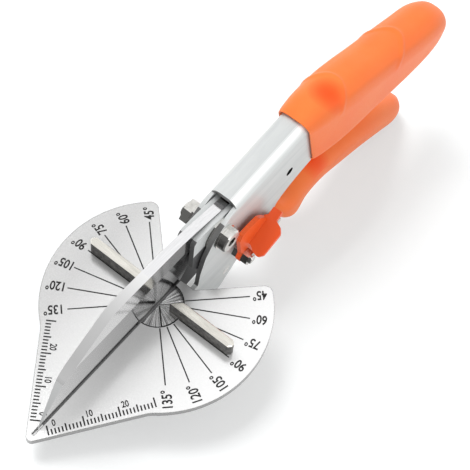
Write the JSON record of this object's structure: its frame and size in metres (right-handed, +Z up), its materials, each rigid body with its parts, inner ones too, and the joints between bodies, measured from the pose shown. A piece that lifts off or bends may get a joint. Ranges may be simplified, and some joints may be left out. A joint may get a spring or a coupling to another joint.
{
  "type": "mitre shears",
  "caption": "Hand mitre shears: a straight blade closes on a heart-shaped anvil plate with swinging fences, worked by gripped handles that a thumb latch holds shut.",
  "frame": {"origin": "middle of the overall box in X and Y, at the height of the bench the tool rests on", "axes": "+X along the tool from the plate's tip to the handles, +Z up from the bench, +Y across the tool on the side away from the latch"},
  "size_m": [0.1953, 0.0672, 0.0573],
  "materials": {
    "orange_grip": "glossy",
    "orange_coat": "glossy",
    "bright_sheet": "polished",
    "plate_steel": "fine brushed",
    "blade_steel": "polished",
    "disc_steel": "radial fluted",
    "bracket_steel": "satin",
    "fence_steel": "satin",
    "fastener_steel": "satin",
    "spring_steel": "satin"
  },
  "bodies": {
    "frame": {"handle_frame": "bright_sheet", "frame_keel": "bright_sheet", "upper_grip": "orange_grip", "anvil_plate": "plate_steel", "anvil_bracket_left": "bracket_steel", "anvil_bracket_right": "bracket_steel", "keel_rivets": "fastener_steel", "index_disc": "disc_steel", "pivot_bush": "fastener_steel", "pivot_washers": "fastener_steel", "pivot_bolt": "fastener_steel", "pivot_nut": "fastener_steel", "thrust_washers": "fastener_steel", "spring_seat_upper": "fastener_steel", "return_spring": "spring_steel", "stop_pin": "fastener_steel", "latch_stud": "fastener_steel", "latch_spacer_nut": "fastener_steel", "latch_nut": "fastener_steel"},
    "lever": {"handle_lever": "bright_sheet", "lower_grip": "orange_grip", "blade": "blade_steel", "blade_rivets": "fastener_steel", "catch_pin": "fastener_steel", "spring_seat_lower": "fastener_steel"},
    "latch": {"latch_lever": "orange_coat"},
    "fence_left": {"fence_foot_left": "disc_steel", "fence_bar_left": "fence_steel", "fence_rivet_left": "fastener_steel"},
    "fence_right": {"fence_foot_right": "disc_steel", "fence_bar_right": "fence_steel", "fence_rivet_right": "fastener_steel"}
  },
  "joints": [
    {"name": "lever_pivot", "type": "hinge", "parent": "frame", "child": "lever", "pos_m": [-0.02482, 0, 0.03533], "axis": [0, 1, 0], "range_deg": [0, 25], "deforming": ["return_spring"]},
    {"name": "latch_pivot", "type": "hinge", "parent": "frame", "child": "latch", "pos_m": [-0.01306, -0.00715, 0.01794], "axis": [0, 1, 0], "range_deg": [-30, 0]},
    {"name": "fence_left_swing", "type": "hinge", "parent": "frame", "child": "fence_left", "pos_m": [-0.04438, 0, 0.01697], "axis": [-0.1773, 0, 0.9842], "range_deg": [-45, 45]},
    {"name": "fence_right_swing", "type": "hinge", "parent": "frame", "child": "fence_right", "pos_m": [-0.04438, 0, 0.01697], "axis": [-0.1773, 0, 0.9842], "range_deg": [-45, 45]}
  ],
  "couplings": [
    {"joint": "latch_pivot", "follows": "lever_pivot", "ratio": -1.2}
  ]
}
